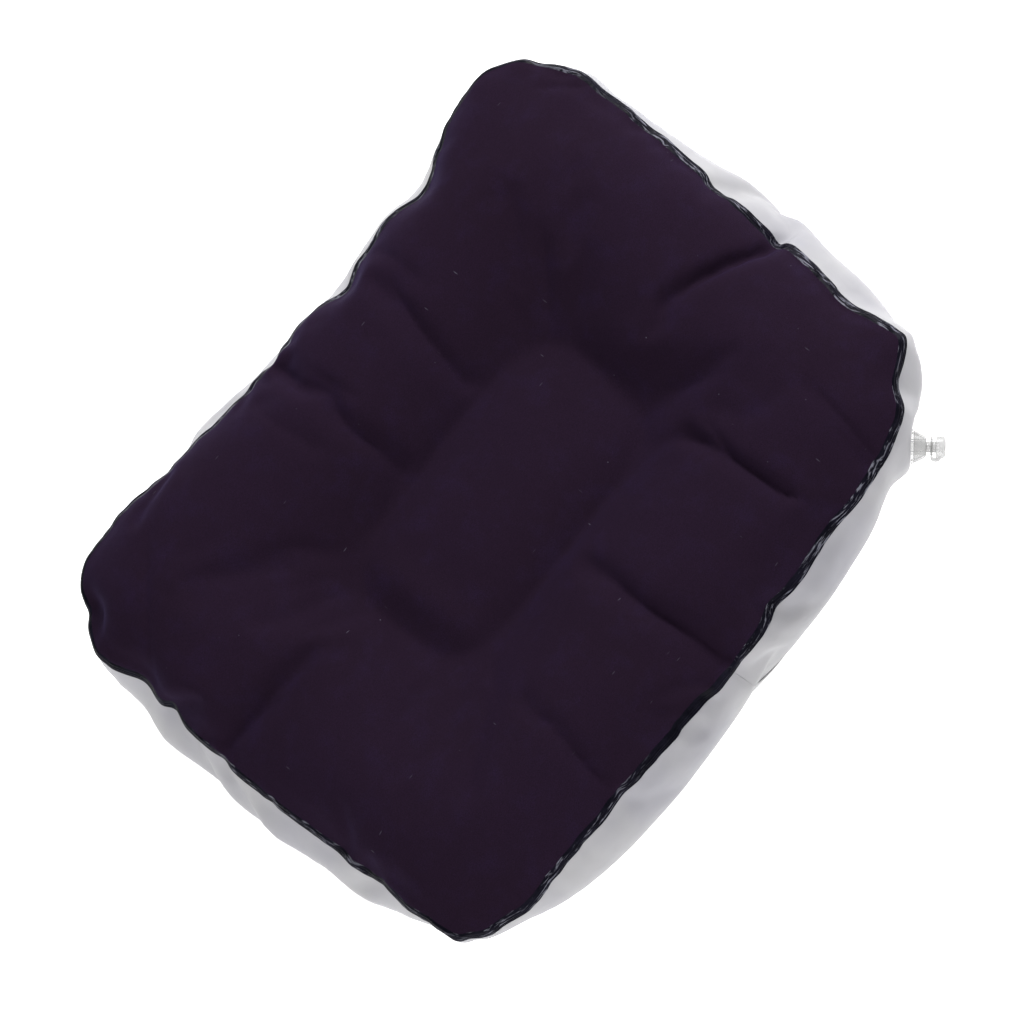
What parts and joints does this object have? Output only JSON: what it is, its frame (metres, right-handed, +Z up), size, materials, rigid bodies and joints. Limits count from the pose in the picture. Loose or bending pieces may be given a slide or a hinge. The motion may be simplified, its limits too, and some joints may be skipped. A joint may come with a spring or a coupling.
{
  "type": "inflatable wobble cushion",
  "caption": "Rectangular air cushion for seated balance work: flocked top sheet tied down in the middle, translucent film wall and base, and a capped oral inflation valve at one corner.",
  "frame": {"origin": "middle of the bottom sheet's flat rest face", "axes": "+Z up through the flocked top, +X along the cushion towards the end with the valve corner, +Y across it, away from the valve"},
  "size_m": [0.479, 0.3778, 0.0924],
  "materials": {
    "flocked_film": "short dense dark aubergine flock on film, with a smooth glossy weld margin round the edge",
    "wall_film": "soft translucent cool grey film, slightly rippled",
    "base_film": "soft translucent grey film",
    "clear_vinyl": "soft clear moulded vinyl, faintly milky"
  },
  "bodies": {
    "bag": {"bottom_sheet": "base_film", "side_wall": "wall_film", "tie_web": "wall_film"},
    "top_panel": {"top_sheet": "flocked_film"},
    "valve_mount": {"valve_flange": "clear_vinyl", "valve_boot": "clear_vinyl"},
    "stem": {"valve_stem": "clear_vinyl", "cap_strap": "clear_vinyl"},
    "cap": {"valve_cap": "clear_vinyl"},
    "flap": {"check_flap": "clear_vinyl"}
  },
  "joints": [
    {"name": "seat_sink", "type": "slide", "parent": "bag", "child": "top_panel", "axis": [0, 0, -1], "range_m": [0, 0.024], "stiffness_N_per_m": 12000, "deforming": ["side_wall", "tie_web"]},
    {"name": "valve_drop", "type": "slide", "parent": "bag", "child": "valve_mount", "axis": [0, 0, -1], "range_m": [0, 0.012]},
    {"name": "valve_push", "type": "slide", "parent": "valve_mount", "child": "stem", "axis": [0.5974, -0.7646, -0.2419], "range_m": [-0.01, 0], "deforming": ["valve_boot"]},
    {"name": "cap_pull", "type": "slide", "parent": "stem", "child": "cap", "axis": [0.5974, -0.7646, -0.2419], "range_m": [0, 0.008], "deforming": ["cap_strap"]},
    {"name": "flap_open", "type": "hinge", "parent": "stem", "child": "flap", "pos_m": [0.17041, -0.16805, 0.04521], "axis": [0.788, 0.6157, 0], "range_deg": [0, 50], "stiffness_Nm_per_rad": 0.00002}
  ],
  "couplings": [
    {"joint": "valve_drop", "follows": "seat_sink", "ratio": 0.5}
  ]
}
